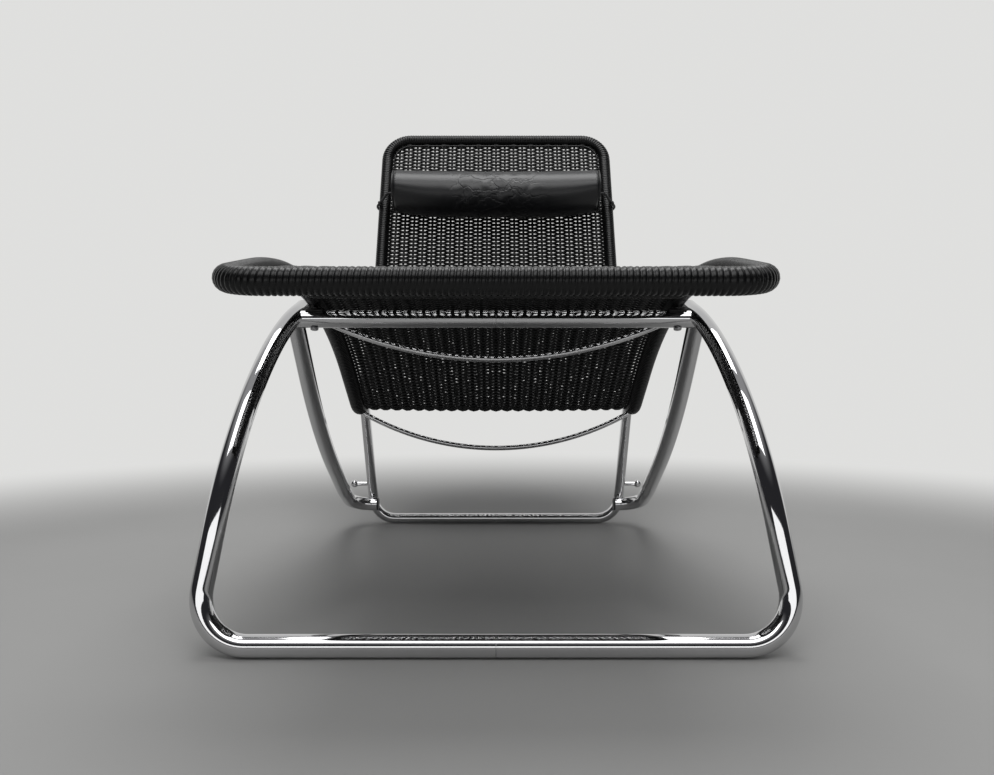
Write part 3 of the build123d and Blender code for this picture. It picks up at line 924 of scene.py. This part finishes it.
# %% Stuff it
crease_fade, crease_share = 0.08, 0.28
longest_move = 0.005
dent_middle(bolster_mesh)
change = stuffed_points(bolster) - points
length = np.linalg.norm(change, axis=1, keepdims=True)
creased = crease_share * np.clip((crease_reach - np.abs(points[:, :1])) / crease_fade, 0, 1)
points = points + change * np.minimum(1.0, longest_move / np.maximum(length, 1e-9)) * creased
print("skin moved up to", round(float(length.max()) * 1000, 1), "mm")

# %% [markdown]
# ## Hanging the bolster
# The bolster leans on the back and is tied at its ends, so its middle sags, its lower side draws in
# towards the ends, and it is flat where it rests on the weave. A second simulation with cords could find
# that shape. Three short rules on the points give it more surely, and the seams made later can follow the
# same rules.

# %% Hang it on the back
sag_depth, sag_reach = 0.005, 0.249
draw_in, draw_from, draw_length = 0.30, 0.11, 0.137
rest_height = 0.0066


def hung(points):
    """Puts points of the straight roll where the tied bolster has them."""
    points = np.array(points)
    up, front = np.array(back_up), np.array(back_front)
    sag = sag_depth * (1 - (points[:, 0] / sag_reach) ** 2)
    near_end = np.clip((np.abs(points[:, 0]) - draw_from) / draw_length, 0, 1) ** 2.5
    lift = points @ up
    lift = np.where(lift < 0, lift * (1 - draw_in * near_end), lift) - sag
    out = (bolster_centre - top_bar).dot(back_front)
    depth = np.maximum(points @ front, rest_height - out)
    across = points[:, :1] * np.array((1.0, 0.0, 0.0))
    return across + depth[:, None] * front + lift[:, None] * up + np.array(bolster_centre)


bolster_mesh.vertices.foreach_set("co", hung(points).ravel())
bolster_mesh.update()
bolster_mesh.polygons.foreach_set("use_smooth", [True] * len(bolster_mesh.polygons))
finer = bolster.modifiers.new("finer", "SUBSURF")
finer.levels = finer.render_levels = 1
bolster_mesh.materials.append(leather)
print("bolster", len(bolster_mesh.polygons), "faces")

# %% [markdown]
# ## Stitch tree
# Each end disc is sewn in with a thin piped seam and a row of stitches beside it. The tube tree can make
# the piping, since it is a thin round line. Stitches are many and alike, so a tree sets one small bead on
# every step of a ring and stretches it along the ring.

# %% Write the stitch tree
stitch, given, result = geometry_tree(
    "stitch_tree", Spacing="Float", Length="Float", Thickness="Float", Finish="Material"
)
thickness = given.outputs["Thickness"]
bead = stitch.add("GeometryNodeMeshIcoSphere", {"Radius": 1.0, "Subdivisions": 2}).outputs[0]
bead = smoothed(stitch, bead)
tangent = stitch.add("GeometryNodeInputTangent").outputs[0]
turned = stitch.add("FunctionNodeAlignRotationToVector", {"Vector": tangent}, axis="Z")
bead_size = stitch.add("ShaderNodeCombineXYZ", {"X": thickness, "Y": thickness, "Z": given.outputs["Length"]})
inputs = {"Points": spaced(stitch, rounded(stitch, given), given.outputs["Spacing"]), "Instance": bead}
inputs.update({"Rotation": turned.outputs[0], "Scale": bead_size.outputs[0]})
sewn = stitch.add("GeometryNodeInstanceOnPoints", inputs)
hand_over(stitch, given, result, sewn.outputs[0])

# %% [markdown]
# ## Seams of the bolster
# Piping and stitches lie on rings of the straight roll, one at each end. Placing them by eye on the
# sagging bolster would be guesswork. Rings that go through the same hanging rules as the skin sit on it
# everywhere.


# %% Sew the ends
def end_rings(x, radius):
    steps = 90
    places = [2 * math.pi * i / steps for i in range(steps + 1)]
    circles = [[(end, radius * math.cos(t), radius * math.sin(t)) for t in places] for end in (-x, x)]
    return [[(Vector(point), 0) for point in hung(circle_points)] for circle_points in circles]


piping = corner_line("bolster_piping", *end_rings(0.2462, 0.0535))
grow(piping, tube, Radius=0.0014, Step=0.004, Finish=leather)
stitches = corner_line("bolster_stitches", *end_rings(0.2385, 0.0551))
grow(stitches, stitch, Spacing=0.006, Length=0.0020, Thickness=0.0005, Finish=lace)

# %% [markdown]
# ## Knots in the tie cord
# The cord is tied beside each rail. A ball would do from afar, but a knot is one line that passes
# over and under itself. The trefoil is the simplest such line. Three sums of sines draw it, and the tube
# tree follows it.

# %% Tie the knots
cord_radius, knot_scale, knot_steps = 0.0024, 0.0014, 72
knot_low, knot_high = (Vector(corner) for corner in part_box("cord_knots"))
knot_reach = (knot_high.x - knot_low.x) / 2 - (knot_high.z - knot_low.z) / 2
knot_lines = []
for side in (-1, 1):
    centre = (knot_low + knot_high) / 2 + Vector((side * knot_reach, 0, 0))
    places = [2 * math.pi * i / knot_steps for i in range(knot_steps + 1)]
    trefoil = [
        (math.sin(t) + 2 * math.sin(2 * t), math.cos(t) - 2 * math.cos(2 * t), -math.sin(3 * t))
        for t in places
    ]
    knot_lines.append([(centre + Vector(point) * knot_scale, 0) for point in trefoil])
knots = grow(corner_line("tied_knots", *knot_lines), tube, Radius=cord_radius, Step=0.0016, Finish=lace)

# %% [markdown]
# ## Finishes of the CAD pieces
# The tie cord, pads, screws, plugs, pegs and inner tubes keep their CAD shape, which is right already.
# Each has a slot that the record names for its material. Looking the finish up by that name paints them
# all in one loop.

# %% Paint the frame
finish_of = {"chrome": chrome, "inner_steel": steel, "cane": cane, "leather": leather}
finish_of.update({"foam": foam, "cord": lace, "pad_rubber": rubber, "plug_plastic": plastic})
for name, node in frame["nodes"].items():
    for holder in node.material_slots:
        holder.material = finish_of[holder.material.name.split(".")[0]]
print("painted", len(frame["nodes"]), "nodes")

# %% [markdown]
# ## What moves with what
# The headrest slides along the rails and everything else stays. Each new piece therefore rides on one of
# the two bodies and hides the CAD piece that it stands for.

# %% Pieces on the chair
for piece, node in (
    (roll_wrap, "front_roll_wrap"),
    (top_wrap, "top_bar_wrap"),
    (rail_wraps["left"], "rail_wrap_left"),
    (rail_wraps["right"], "rail_wrap_right"),
    (seat_cane, "seat_weave"),
    (back_cane, "back_weave"),
):
    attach(piece, "chair_frame")
    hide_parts(node)
for node, piece in chrome_pieces.items():
    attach(piece, "chair_frame")
    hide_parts(node)
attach(edge_strands, "chair_frame")
print("pieces on the chair placed")

# %% Pieces on the headrest
for piece, slot in ((piping, "leather"), (stitches, "cord")):
    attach(piece, "headrest")
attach(knots, "headrest")
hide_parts("cord_knots")
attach(bolster, "headrest")
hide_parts("headrest_cover", "headrest_end_left", "headrest_end_right", "headrest_core")
print("pieces on the headrest placed")
